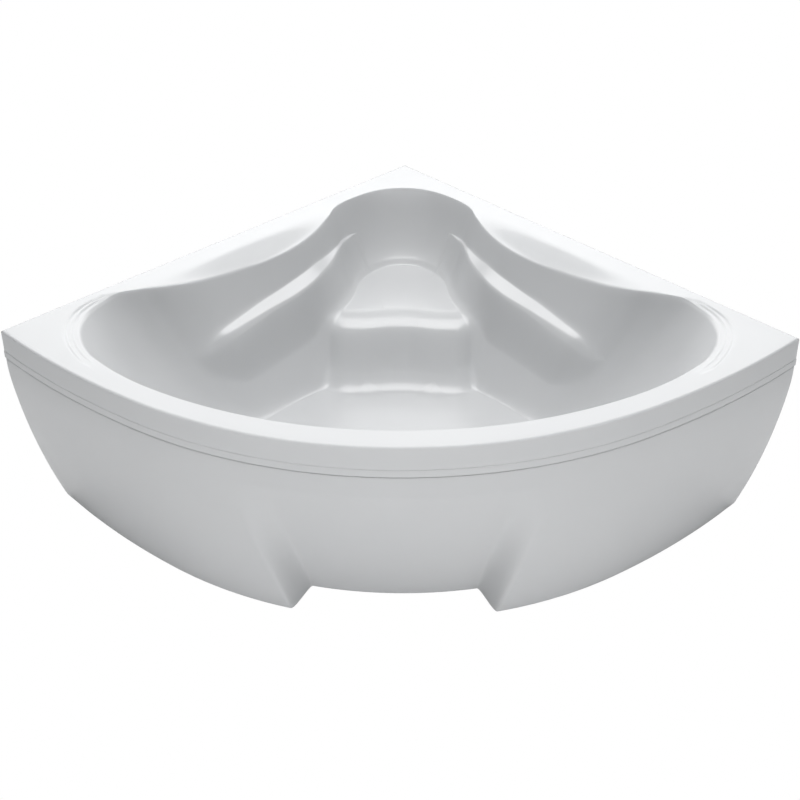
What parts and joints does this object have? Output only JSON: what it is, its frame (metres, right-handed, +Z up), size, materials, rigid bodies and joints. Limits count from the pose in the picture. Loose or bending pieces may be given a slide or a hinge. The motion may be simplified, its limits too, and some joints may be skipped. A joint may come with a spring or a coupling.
{
  "type": "corner bathtub",
  "caption": "Corner bathtub with a curved apron, corner seat, armrest ledges, pop-up waste, overflow knob and a levelled support frame.",
  "frame": {"origin": "middle of the bath's footprint on the floor", "axes": "+X to the right along the front, +Y to the corner of the room, +Z up"},
  "size_m": [2.1382, 1.5288, 0.64],
  "materials": {
    "acrylic": "glossy white sanitary acrylic, vacuum formed and backed with resin",
    "board": "pressed board, sealed",
    "timber": "planed softwood",
    "frame_steel": "galvanised square tube",
    "zinc": "bright zinc plate",
    "screws": "yellow passivated zinc",
    "foot_plastic": "black moulded plastic",
    "polished_metal": "polished chrome plate",
    "seal_rubber": "soft black rubber",
    "pipe_plastic": "white moulded plastic",
    "hose_plastic": "light grey flexible plastic",
    "cable_sheath": "dark grey sheath"
  },
  "bodies": {
    "bath": {"tub_shell": "acrylic", "base_board": "board", "front_batten": "timber", "wall_batten_left": "timber", "wall_batten_right": "timber", "rail_front": "frame_steel", "rail_rear": "frame_steel", "rail_spine": "frame_steel", "runner_left": "frame_steel", "runner_right": "frame_steel", "end_post_left": "frame_steel", "end_post_right": "frame_steel", "back_post": "frame_steel", "front_post_left": "frame_steel", "front_post_right": "frame_steel", "seat_prop": "frame_steel", "frame_bolts": "zinc", "frame_nuts": "zinc", "board_screws": "screws", "tube_plugs": "foot_plastic", "foot_nut_plates": "zinc", "foot_lock_nuts": "zinc", "apron_panel": "acrylic", "panel_clips": "zinc", "clip_screws": "screws", "panel_brackets": "zinc", "bracket_screws": "screws", "wall_brackets": "zinc", "overflow_plate": "polished_metal", "overflow_gasket": "seal_rubber", "overflow_body": "pipe_plastic", "overflow_hose": "hose_plastic", "hose_clips": "zinc", "control_cable": "cable_sheath", "waste_flange": "polished_metal", "flange_gasket": "seal_rubber", "waste_gasket": "seal_rubber", "waste_body": "pipe_plastic", "trap_inlet_nut": "pipe_plastic", "trap_bend": "pipe_plastic", "trap_outlet_nut": "pipe_plastic", "outlet_pipe": "pipe_plastic"},
    "knob": {"overflow_knob": "polished_metal", "cable_drum": "foot_plastic"},
    "waste_plug": {"plug": "polished_metal", "plug_seal": "seal_rubber"},
    "lever": {"plug_lever": "zinc"},
    "foot_left": {"pad_left": "foot_plastic"},
    "screw_left": {"stud_left": "zinc"},
    "foot_right": {"pad_right": "foot_plastic"},
    "screw_right": {"stud_right": "zinc"},
    "foot_front_left": {"pad_front_left": "foot_plastic"},
    "screw_front_left": {"stud_front_left": "zinc"},
    "foot_front_right": {"pad_front_right": "foot_plastic"},
    "screw_front_right": {"stud_front_right": "zinc"},
    "foot_back": {"pad_back": "foot_plastic"},
    "screw_back": {"stud_back": "zinc"}
  },
  "joints": [
    {"name": "knob_turn", "type": "hinge", "parent": "bath", "child": "knob", "pos_m": [0, -0.67318, 0.56], "axis": [0, 0.9801, 0.1983], "range_deg": [0, 90]},
    {"name": "lever_turn", "type": "hinge", "parent": "bath", "child": "lever", "pos_m": [0, -0.49817, 0.127], "axis": [1, 0, 0], "range_deg": [0, 50]},
    {"name": "plug_lift", "type": "slide", "parent": "bath", "child": "waste_plug", "axis": [0, 0, 1], "range_m": [0, 0.0122]},
    {"name": "foot_left_height", "type": "slide", "parent": "bath", "child": "foot_left", "axis": [0, 0, 1], "range_m": [-0.00997, 0.00997]},
    {"name": "screw_left_turn", "type": "hinge", "parent": "foot_left", "child": "screw_left", "pos_m": [-0.925, -0.29517, 0.05], "axis": [0, 0, 1], "range_deg": [-2052, 2052]},
    {"name": "foot_right_height", "type": "slide", "parent": "bath", "child": "foot_right", "axis": [0, 0, 1], "range_m": [-0.00997, 0.00997]},
    {"name": "screw_right_turn", "type": "hinge", "parent": "foot_right", "child": "screw_right", "pos_m": [0.925, -0.29517, 0.05], "axis": [0, 0, 1], "range_deg": [-2052, 2052]},
    {"name": "foot_front_left_height", "type": "slide", "parent": "bath", "child": "foot_front_left", "axis": [0, 0, 1], "range_m": [-0.00997, 0.00997]},
    {"name": "screw_front_left_turn", "type": "hinge", "parent": "foot_front_left", "child": "screw_front_left", "pos_m": [-0.38, -0.62017, 0.05], "axis": [0, 0, 1], "range_deg": [-2052, 2052]},
    {"name": "foot_front_right_height", "type": "slide", "parent": "bath", "child": "foot_front_right", "axis": [0, 0, 1], "range_m": [-0.00997, 0.00997]},
    {"name": "screw_front_right_turn", "type": "hinge", "parent": "foot_front_right", "child": "screw_front_right", "pos_m": [0.38, -0.62017, 0.05], "axis": [0, 0, 1], "range_deg": [-2052, 2052]},
    {"name": "foot_back_height", "type": "slide", "parent": "bath", "child": "foot_back", "axis": [0, 0, 1], "range_m": [-0.00997, 0.00997]},
    {"name": "screw_back_turn", "type": "hinge", "parent": "foot_back", "child": "screw_back", "pos_m": [0, 0.61483, 0.05], "axis": [0, 0, 1], "range_deg": [-2052, 2052]}
  ],
  "couplings": [
    {"joint": "lever_turn", "follows": "knob_turn", "ratio": 0.55556},
    {"joint": "plug_lift", "follows": "knob_turn", "m_per_rad": 0.0077031},
    {"joint": "screw_left_turn", "follows": "foot_left_height", "rad_per_m": 3590.4},
    {"joint": "screw_right_turn", "follows": "foot_right_height", "rad_per_m": 3590.4},
    {"joint": "screw_front_left_turn", "follows": "foot_front_left_height", "rad_per_m": 3590.4},
    {"joint": "screw_front_right_turn", "follows": "foot_front_right_height", "rad_per_m": 3590.4},
    {"joint": "screw_back_turn", "follows": "foot_back_height", "rad_per_m": 3590.4}
  ]
}
